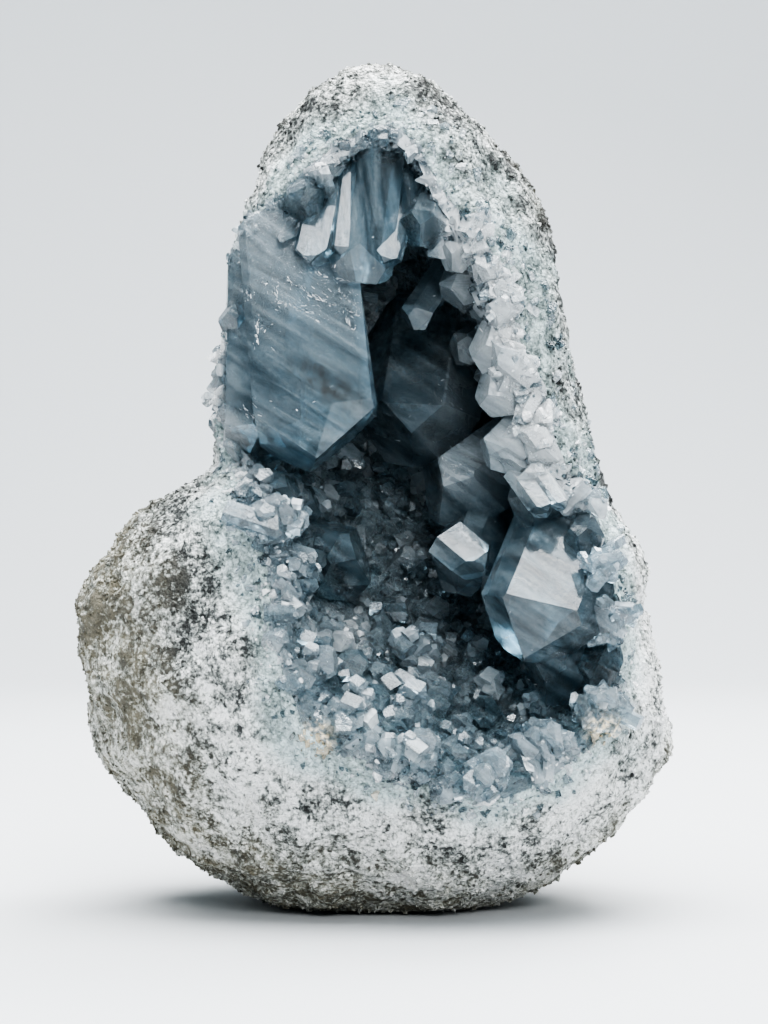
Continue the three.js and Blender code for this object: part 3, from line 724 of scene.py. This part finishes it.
def depth_in(point, crystal):
    """How deep a point is inside a crystal, below 0 outside it, and how far back from its tip."""
    tip, root, width, thickness, looks = crystal
    turn, place = laid(tip, tip - root, looks)
    local = turn.to_3x3().transposed() @ (point - place)
    planes = crystal_planes(width, thickness)
    depth = min(distance - normal.dot(local) for normal, distance in planes)
    return min(depth, thickness / 2 - abs(local.z)), -local.x / (tip - root).length


large = [in_metres(row) for row in LARGE]
ON_FACE = 0.15 * MM  # a point this close to a crystal's face is on it


def on_large_crystal(point, margin=ON_FACE, root_share=0.8):
    """Whether a point lies on a large crystal's clean faces, away from its root."""
    for crystal in large:
        if (point - crystal[0]).length > (crystal[0] - crystal[1]).length + crystal[2]:
            continue
        depth, back = depth_in(point, crystal)
        if depth > -margin and back < root_share:
            return True
    return False


print("large crystals:", len(large))

# %% [markdown]
# ## The druse
# Between the large crystals the crust is a bed of small ones, 1 to 4 mm wide, that crowd each other. A few
# crystals are cut once as patterns, and copies of them stand on the scattered points, leaning a little from
# the wall's normal. In the middle of the floor a quarter of them are short blocks that stand a little higher
# and lie parallel, as crystals in a hollow often do. Their broad faces mirror the softbox overhead and flash
# together.

# %% Druse placements
DRUSE = {"thrown": 40000, "spacing": 1.7 * MM, "width": (1.4 * MM, 4.2 * MM), "skew": 2.2, "lean": 0.38,
         "along_face": 0.35, "out": 0.52, "faces_front": 0.25, "seed": 21}
DRUSE_SHAPES = ((1.9, 0.8), (2.1, 1.0), (1.7, 0.65), (2.3, 0.9), (1.8, 1.1))  # length and thickness
SMALLER = {"right_of": 19 * MM, "largest": 2.4 * MM}
GLINTS = {"shape": (1.2, 1.35, 0.8), "share": 0.26, "raised": 0.22, "out": 0.62, "spread": 0.07,
          "largest": 2.7 * MM, "x": (-13 * MM, 19 * MM)}
CRUST_BACK = 0.9 * MM  # crust this close to the rock's wall is its hidden back
BRUISED = 3.2 * MM  # crust this close to the rock's skin was broken with it, and holds no whole crystals
ROOM = 0.9 * MM  # no druse stands closer than this to a large crystal's faces
OPEN_SIDE = {  # on the left, where no rock backs the crust, it is bruised too
    "x": (-15.5 * MM, -20.5 * MM), "z": (58 * MM, 64 * MM)}


def open_druse(points, normals):
    """Which points of the crust are open druse: on its front, but not on large crystals or the broken rim."""
    wanted = (normals[:, 1] < DRUSE["faces_front"]) & (zone(points, **OPEN_SIDE) < 0.5)
    return np.array([
        allowed and wall_tree.find_nearest(point)[3] > CRUST_BACK
        and skin_tree.find_nearest(point)[3] > BRUISED
        and not on_large_crystal(Vector(point), ROOM, root_share=1.3)
        for point, allowed in zip(points, wanted)])


def druse_placements():
    random = np.random.default_rng(DRUSE["seed"])
    patterns = [shape_of(crystal_bm(length, 1, thickness)) for length, thickness in DRUSE_SHAPES]
    block = shape_of(crystal_bm(*GLINTS["shape"]))
    points, normals = scatter(crust_base, DRUSE["thrown"], random, open_druse)
    flashes = (Vector(SOFTBOXES["overhead"][0]) - MIDDLE).normalized() + FRONT
    placed = []
    for number in crowded(points, DRUSE["spacing"]):
        foot, normal = Vector(points[number]), Vector(normals[number])
        outward = wall_tree.find_nearest(foot)[1]
        lean = Vector(random.normal(0, DRUSE["lean"], 3))
        along = (outward + normal * DRUSE["along_face"] + lean).normalized()
        size = drawn_size(DRUSE, random)
        if foot.x > SMALLER["right_of"]:
            size = min(size, SMALLER["largest"])
        looks = Vector(random.normal(0, 1, 3)) + FRONT
        shape, out = patterns[random.integers(len(patterns))], DRUSE["out"]
        if random.random() < GLINTS["share"] and GLINTS["x"][0] < foot.x < GLINTS["x"][1]:
            shape, size, out = block, min(size, GLINTS["largest"]), GLINTS["out"]
            looks = flashes.normalized() + Vector(random.normal(0, GLINTS["spread"], 3))
            along = Vector(random.normal(0, 1, 3))
            along = (along - looks * along.dot(looks) / looks.length_squared).normalized()
            foot += looks * size * GLINTS["raised"]
        turn, place = laid(foot + along * size * out, along, looks)
        placed.append((shape, turn, size, place))
    return placed


druse = druse_placements()
print("druse crystals:", len(druse))

# %% [markdown]
# ## The broken rim
# Where the nodule was split, the crust broke too, into blocky pieces with angular faces. Each is a cube with
# random corners cut off. They crowd the rim of the crust. Under the top of the hollow the band of them is
# narrow, because the prisms that hang there start right behind it. At the upper right the pieces are larger,
# as slabs.

# %% Broken pieces
RIM = {"thrown": 16000, "spacing": 1.6 * MM, "width": (1.3 * MM, 4.6 * MM), "skew": 2.2, "reach": 6.5 * MM,
       "sunk": 0.1, "faces_front": 0.3, "seed": 5}
RIM_SHAPES = {"count": 12, "cuts": 8, "flatness": 0.75, "deepest": 0.21}
HOOD = {"above": 100 * MM, "reach": 3.2 * MM, "largest": 2.6 * MM}
SLABS = {"right_of": 9.5 * MM, "above": 60 * MM, "larger": 1.55}
WHITENESS = {"patch": 5 * MM, "mean": 0.45, "patchy": 0.9, "chance": 0.2, "seed": 3}


def broken_patterns(count, cuts, flatness, random, deepest=0.26):
    """Broken pieces about one unit wide. No cut comes closer to the middle than the deepest."""
    patterns = []
    for _ in range(count):
        bm = bmesh.new()
        bmesh.ops.create_cube(bm, size=1)
        bmesh.ops.scale(bm, verts=bm.verts[:], vec=(1.3 - 0.4 * random.random(), 1, flatness))
        for _ in range(cuts):
            normal = Vector(random.normal(0, 1, 3) * (1, 1, flatness)).normalized()
            cut(bm, normal, deepest + 0.2 * random.random())
        bmesh.ops.recalc_face_normals(bm, faces=bm.faces[:])
        patterns.append(shape_of(bm))
    return patterns


def whiteness(places, random):
    """How white with cracks the piece at each place is, from 0 to 1: in patches, and a little by chance."""
    patches = np.array([noise.noise(Vector(place) / WHITENESS["patch"]) for place in places])
    by_chance = random.normal(0, WHITENESS["chance"], len(places))
    return np.clip(WHITENESS["mean"] + WHITENESS["patchy"] * patches + by_chance, 0, 1)


def spun(random):
    """A random turning matrix."""
    return laid(Vector(), Vector(random.normal(0, 1, 3)), Vector(random.normal(0, 1, 3)))[0]


def in_slabs(point):
    """Whether a point is in the upper right rim, which broke into large pale slabs."""
    return point[0] > SLABS["right_of"] and point[2] > SLABS["above"]


def near_rim(points, normals):
    """Which points of the crust are close to where it broke with the rock."""
    reaches = np.where(points[:, 2] > HOOD["above"], HOOD["reach"], RIM["reach"])
    broken = (distances(skin_tree, points) < reaches) | (zone(points, **OPEN_SIDE) > 0.5)
    wanted = broken & (normals[:, 1] < RIM["faces_front"])
    return np.array([
        allowed and not on_large_crystal(Vector(point)) for point, allowed in zip(points, wanted)])


def rim_placements():
    random = np.random.default_rng(RIM["seed"])
    patterns = broken_patterns(random=random, **RIM_SHAPES)
    points, normals = scatter(crust_base, RIM["thrown"], random, near_rim)
    placed = []
    for number in crowded(points, RIM["spacing"]):
        size = drawn_size(RIM, random)
        if points[number][2] > HOOD["above"]:
            size = min(size, HOOD["largest"])
        elif in_slabs(points[number]):
            size *= SLABS["larger"]
        centre = Vector(points[number] - normals[number] * size * RIM["sunk"])
        placed.append((patterns[random.integers(len(patterns))], spun(random), size, centre))
    return placed


rim = rim_placements()
print("broken pieces along the rim:", len(rim))

# %% [markdown]
# ## One crust
# Crystals that grew together share one skin: inside the crust there is no surface between them for light to
# bend at. So the small crystals are united with the crust. They are sorted into groups in which no two
# touch, each group is one mesh, and the groups are joined to the crust one after another.
#
# The attribute pale is high where the blow bruised the crust: near its broken rim, most of all on the right,
# and on the ridge that climbs the floor. The faces of large crystals stayed clear, apart from those in the
# slabs, the foot of the large broken block and the block's frosted upper part. The attribute stain marks the
# beige spots.

# %% Uniting the crust
RIDGE_LINE = ((3.1, 18), (-3.4, 42))  # the ends of the broken ridge, as x and z in mm
RIDGE_EDGE = (4.5 * MM, 1.5 * MM)  # how far from its line the ridge ends, and where it is whole
STAIN_EDGE = (1.2, 0.3)  # the same for a stain, in its radii
REACHES = {"left": 2.6 * MM, "right_adds": 16 * MM, "below_adds": 3 * MM}
REACHES_RIGHT = {"x": (-6 * MM, 14 * MM), "z": (42 * MM, 54 * MM)}
REACHES_BELOW = {"z": (35 * MM, 20 * MM)}
FOOT_OF_BLOCK = {"left_of": -15 * MM, "below": 73 * MM}
BLOCK = large[8]
FROSTED = (74 * MM, 94 * MM)  # the block is clear below, and fully frosted above
PALE = {"bed": 0.48, "ridge": 0.7, "clean": 0.25, "frosted": 0.75}  # clean faces have this share of the rest
WHITE_SLABS, WHITE_BASE = 0.7, 0.3  # the least whiteness in the slabs, and the crust's elsewhere
STAINS = [  # middle as x and z, and radius, in mm
    ((-7.8, 27.2), 3.4), ((1.2, 17.3), 2.8), ((32.3, 28.2), 3.4)]


def groups_apart(placed):
    """Sorts placed shapes into groups whose members don't touch."""
    centres, reach = [], []
    for (points, _), turn, size, place in placed:
        middle = (points.max(0) + points.min(0)) / 2
        centres.append(np.array(turn.to_3x3()) @ (middle * size) + np.array(place))
        reach.append(np.linalg.norm(points - middle, axis=1).max() * size)
    centres, reach = np.array(centres), np.array(reach)
    groups = []
    for i in range(len(placed)):
        for group in groups:
            gap = np.linalg.norm(centres[group] - centres[i], axis=1) - reach[group] - reach[i]
            if gap.min() > 0:
                group.append(i)
                break
        else:
            groups.append([i])
    return groups


def united(name, base, placed, chips):
    """The base mesh joined with all the placed shapes into one skin. chips has one number for each shape."""
    target = in_scene(name, base)
    helpers = []
    for number, group in enumerate(groups_apart(placed)):
        mesh = joined(f"{name}_group_{number}", [placed[i] for i in group], chip=[chips[i] for i in group])
        helpers.append(in_scene(mesh.name, mesh))
        join = target.modifiers.new(mesh.name, "BOOLEAN")
        join.operation, join.solver, join.object = "UNION", "MANIFOLD", helpers[-1]
    graph = bpy.context.evaluated_depsgraph_get()
    mesh = bpy.data.meshes.new_from_object(target.evaluated_get(graph))
    for helper in helpers + [target]:
        bpy.data.objects.remove(helper)
    mesh.name = name
    return mesh


def stained(point):
    """How stained a point is, from 0 to 1."""
    off = min(math.hypot(point[0] / MM - x, point[2] / MM - z) / radius for (x, z), radius in STAINS)
    return smooth(off, *STAIN_EDGE)


def bruised_whole(point):
    """Whether even the large crystals are bruised at a point: in the slabs and at the block's foot."""
    at_foot = point[0] < FOOT_OF_BLOCK["left_of"] and point[2] < FOOT_OF_BLOCK["below"]
    return in_slabs(point) or at_foot


def frosted(point):
    """How full of fine cracks a point of the large broken block is, from 0 at its tip to 1 at its top."""
    return smooth(point.z, *FROSTED) if depth_in(point, BLOCK)[0] > -ON_FACE else 0


def bruised_reaches(points):
    """How far from the rock's skin the crust is bruised: least on the left, and most on the right."""
    right, below = zone(points, **REACHES_RIGHT), zone(points, **REACHES_BELOW)
    return REACHES["left"] + right * REACHES["right_adds"] + below * REACHES["below_adds"]


def on_ridge(point):
    """How near a point is to the broken ridge that climbs the floor, from 0 to 1."""
    low, high = (Vector((x * MM, z * MM)) for x, z in RIDGE_LINE)
    place = Vector((point[0], point[2]))
    share = min(max((place - low).dot(high - low) / (high - low).length_squared, 0), 1)
    return smooth((place - low.lerp(high, share)).length, *RIDGE_EDGE)


base_chips = [WHITE_SLABS if in_slabs(face.center) else WHITE_BASE for face in crust_base.polygons]
store(crust_base, "chip", base_chips, "FACE")
places = [place for *_, place in druse + rim]
chips = whiteness(places, np.random.default_rng(WHITENESS["seed"]))
chips = np.maximum(chips, [WHITE_SLABS * in_slabs(place) for place in places])
crust_mesh = united("celestite_crust", crust_base, druse + rim, chips)
points = [vertex.co for vertex in crust_mesh.vertices]
pale = 1 - smooth(distances(skin_tree, points) / bruised_reaches(points), 0.1, 1)
bed = [max(PALE["ridge"] * on_ridge(point), PALE["bed"]) for point in points]
pale = np.maximum(np.maximum(pale, bed), zone(points, **OPEN_SIDE))
clean = np.array([on_large_crystal(point, root_share=0.9) and not bruised_whole(point) for point in points])
pale[clean] *= PALE["clean"]
pale = np.maximum(pale, [PALE["frosted"] * frosted(point) for point in points])
store(crust_mesh, "pale", pale)
store(crust_mesh, "stain", [stained(point) for point in points])
crust = shown("celestite_crust", crust_mesh, celestite)
print("crust:", triangles(crust.data), "triangles")

# %% [markdown]
# ## Grains
# The rock is crumbly: single grains of 0.3 to 0.8 mm stand a little out of it. They are broken pieces again,
# thousands of copies in one joined mesh for the front and one for the back. Each grain takes from the rock
# that it sits on its ice, its weathering with painted shade, and its shade with painted light at the heavy
# end, and adds its own shade.

# %% Standing grains
GRAINS = {"thrown": 23000, "width": (0.32 * MM, 0.8 * MM), "skew": 2, "sunk": 0.24, "uneven": 0.3, "seed": 33}
GRAIN_SHAPES = {"count": 6, "cuts": 2, "flatness": 0.9}
GRAIN_SHADES = (0.04, 0.14)  # how much lighter than the rock they are on average, and how widely they differ
UNDER_CRUST = 0.8 * MM  # rock this close to the crust is hidden behind it


def rock_values(name):
    """An attribute of the rock as an array."""
    values = np.zeros(len(rock.data.vertices), np.float32)
    rock.data.attributes[name].data.foreach_get("value", values)
    return values


rock_points = KDTree(len(rock.data.vertices))
for vertex in rock.data.vertices:
    rock_points.insert(vertex.co, vertex.index)
rock_points.balance()
rock_ice, rock_dirt, rock_shade = rock_values("ice"), rock_values("dirt"), rock_values("shade")


def grains(name, front, seed):
    """Grains on the rock's front or back half, where it isn't under the crust."""
    def wanted(points, normals):
        return ((points[:, 1] < 0) == front) & (distances(crust_tree, points) > UNDER_CRUST)

    random = np.random.default_rng(seed)
    patterns = broken_patterns(random=random, **GRAIN_SHAPES)
    points, normals = scatter(rock.data, GRAINS["thrown"], random, wanted)
    placed = []
    for point, normal in zip(points, normals):
        size = drawn_size(GRAINS, random)
        if point[2] > size:
            sunk = normal * size * (GRAINS["uneven"] * random.random() - GRAINS["sunk"])
            placed.append((patterns[random.integers(len(patterns))], spun(random), size, point + sunk))
    nearest = [rock_points.find(place)[1] for *_, place in placed]
    shades = rock_shade[nearest] + random.normal(*GRAIN_SHADES, len(placed))
    mesh = joined(name, placed, shade=shades, ice=rock_ice[nearest], dirt=rock_dirt[nearest])
    return shown(name, mesh, rock_material)


front_grains = grains("grains_front", True, GRAINS["seed"])
back_grains = grains("grains_back", False, GRAINS["seed"] + 1)
print("grains:", triangles(front_grains.data), "and", triangles(back_grains.data), "triangles")

# %% [markdown]
# ## Crumbs of crushed crystal
# The blow that split the nodule crushed the crystals along the rim. Crumbs of 0.4 to 2 mm stick to the edge
# of the crust and to the rock beside it, some glassy and some white with cracks. They are many and small, so
# they are one joined mesh, and an attribute gives each its own whiteness.

# %% Crushed celestite
CRUMBS = {"thrown": 36000, "spacing": 0.7 * MM, "width": (0.4 * MM, 2.0 * MM), "skew": 4, "on_rock": 5.0 * MM,
          "on_crust": 4.5 * MM, "spread": 0.7, "sunk": 0.2, "uneven": 0.25, "faces_front": 0.35, "seed": 44}
CRUMB_SHAPES = {"count": 10, "cuts": 4, "flatness": 0.5}
CRUSHED_SHADES = ((0.0, "#8fa4ae"), (0.45, "#c9d6dc"), (1.0, "#ffffff"))
CRUMB_NOISES = {"flaws": (0.7 * MM, {"Detail": 4})}
CRUMB_RANGES = {"white": {}, "clear": {"To Min": 0.97, "To Max": 0.3}}  # the first is only kept from 0 to 1
CRUMB_SUMS = [
    ("flawed", "MULTIPLY_ADD", "flaws", 1.1, -0.55),
    ("white", "ADD", "flawed", "chip"),
    ("clear", "ADD", "white", "stain"),
]
CLEAVED = 0.4 * MM  # the steps of the cleaved faces
CRUMB_BUMP = {"Distance": 0.2 * MM, "Strength": 0.8}
CRUMB_ROUGHNESS = 0.1


def crushed_celestite():
    material, tree, shader = new_material("crushed_celestite")
    position, parts = read_values(tree, ("chip", "stain"), CRUMB_NOISES)
    work_out(tree, parts, CRUMB_RANGES, CRUMB_SUMS)
    ramp = add(tree, "ShaderNodeValToRGB", {"Fac": parts["white"]})
    shade_ramp(ramp, CRUSHED_SHADES)
    inputs = {0: parts["stain"], 6: ramp, 7: linear(BEIGE)}
    colour = add(tree, "ShaderNodeMix", inputs, data_type="RGBA").outputs[2]
    cleaved = add(tree, "ShaderNodeTexVoronoi", {"Vector": position, "Scale": 1 / CLEAVED})
    bump = add(tree, "ShaderNodeBump", {"Height": cleaved, **CRUMB_BUMP})
    plug(tree, shader, {"Base Color": colour, "Transmission Weight": parts["clear"],
                        "Roughness": CRUMB_ROUGHNESS, "Normal": bump, "IOR": CELESTITE_IOR})
    return material


def crumbs(name, random):
    """Crumbs on the rock near the crust and on the crust near the rock's skin, in one mesh."""
    patterns = broken_patterns(random=random, **CRUMB_SHAPES)
    placed = []
    for surface, tree, reach in (
            (rock.data, crust_tree, CRUMBS["on_rock"]), (crust_mesh, skin_tree, CRUMBS["on_crust"])):
        def wanted(points, normals, tree=tree, reach=reach):
            broad = 1 + BROADER * zone(points, **BROAD_RIM)
            near = distances(tree, points) / reach / broad < random.random(len(points)) ** CRUMBS["spread"]
            return near & (normals[:, 1] < CRUMBS["faces_front"])
        points, normals = scatter(surface, CRUMBS["thrown"], random, wanted)
        for number in crowded(points, CRUMBS["spacing"]):
            size = drawn_size(CRUMBS, random)
            out = CRUMBS["uneven"] * random.random() - CRUMBS["sunk"]
            place = points[number] + normals[number] * size * out
            if not on_large_crystal(Vector(place), root_share=0.75):
                placed.append((patterns[random.integers(len(patterns))], spun(random), size, place))
    places = [place for *_, place in placed]
    return joined(name, placed, chip=whiteness(places, random), stain=[stained(place) for place in places])


crushed = crushed_celestite()
rim_crumbs = shown("rim_crumbs", crumbs("rim_crumbs", np.random.default_rng(CRUMBS["seed"])), crushed)
print("crumbs:", triangles(rim_crumbs.data), "triangles")

# %% [markdown]
# ## Cracks and dust
# Cracks run through the broken block. Along them thin slivers have sprung up and glitter, most of them right
# on the crack and some beside it. A little dust of crushed crystal lies on the druse. The lines are where
# the cracks are on the front, and each sliver is dropped on the crust by a ray from the front.

# %% Flakes and dust
CRACKS = [  # lines of points as x and z, in mm
    [(-16.4, 91.5), (-13.9, 90.7), (-13.5, 88.7), (-10.9, 87.5), (-8.1, 86.8)],
    [(-12.5, 91.8), (-8.1, 89.0), (-3.4, 87.5), (-1.9, 86.6)],
    [(-9.5, 93.2), (-6.6, 92.2), (-3.4, 91.6)],
    [(-3.8, 87.1), (-3.4, 85.1), (-2.4, 84.1)],
    [(-4.9, 90.3), (-3.6, 88.9), (-2.6, 87.9)],
    [(-16.2, 85.6), (-16.4, 84.0), (-16.1, 82.3)],
    [(-17.9, 90.1), (-17.6, 88.5)],
    [(-18.5, 73.7), (-16.9, 71.9)],
]
FLAKES = {"per_mm": 14, "off_line": (0.1, 0.9), "further_off": 0.33, "lean": 0.35, "lengths": (2.5, 4, 6),
          "thickness": 0.3, "width": (0.05 * MM, 0.17 * MM), "skew": 2, "chip": (0.6, 0.35), "seed": 55}
DUST = {"thrown": 2600, "width": (0.05 * MM, 0.14 * MM), "skew": 2}
RAYS_FROM = -60 * MM  # the rays that drop the slivers start here, in front of the geode


def along_cracks(random):
    """Places along the cracks as x and z, in mm, and which way the crack runs. A third lie further off."""
    places = []
    for line in CRACKS:
        for start, end in zip(line, line[1:]):
            run = np.array(end) - start
            for share in random.random(round(FLAKES["per_mm"] * np.linalg.norm(run))):
                off = FLAKES["off_line"][int(random.random() < FLAKES["further_off"])]
                places.append((start + share * run + random.normal(0, off, 2), Vector((run[0], 0, run[1]))))
    return places


def flakes(name, random):
    """Slivers along the cracks and dust on the crust, in one mesh."""
    patterns = [shape_of(crystal_bm(length, 1, FLAKES["thickness"])) for length in FLAKES["lengths"]]
    front_tree = BVHTree.FromPolygons(
        [vertex.co for vertex in crust_mesh.vertices], [face.vertices[:] for face in crust_mesh.polygons])
    spots = []
    for (x, z), run in along_cracks(random):
        spot, normal, *_ = front_tree.ray_cast(Vector((x * MM, RAYS_FROM, z * MM)), -FRONT)
        if spot is not None:
            spots.append((spot, normal, drawn_size(FLAKES, random), run.normalized()))
    points, normals = scatter(crust_mesh, DUST["thrown"], random, lambda points, normals: normals[:, 1] < 0)
    for point, normal in zip(points, normals):
        spots.append((Vector(point), Vector(normal), drawn_size(DUST, random), spun(random)[0].to_3d()))
    placed = []
    for spot, normal, size, run in spots:
        along = run + Vector(random.normal(0, FLAKES["lean"], 3))
        turn, place = laid(spot, along, normal + Vector(random.normal(0, FLAKES["lean"], 3)))
        placed.append((patterns[random.integers(len(patterns))], turn, size, place))
    return joined(name, placed, chip=np.clip(random.normal(*FLAKES["chip"], len(placed)), 0, 1))


loose = shown("flakes_and_dust", flakes("flakes_and_dust", np.random.default_rng(FLAKES["seed"])), crushed)
print("flakes and dust:", triangles(loose.data), "triangles")

# %% [markdown]
# ## Who rides on what
# The pieces stand for the two solids and ride on the part's only body.

# %% Table of pieces
for piece, node, slot in ((rock, "matrix_rock", "rock"), (front_grains, "matrix_rock", "rock"),
                          (back_grains, "matrix_rock", "rock"), (crust, "crystal_crust", "celestite"),
                          (rim_crumbs, "crystal_crust", "celestite"), (loose, "crystal_crust", "celestite")):
    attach(piece, "root")
    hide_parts(node)
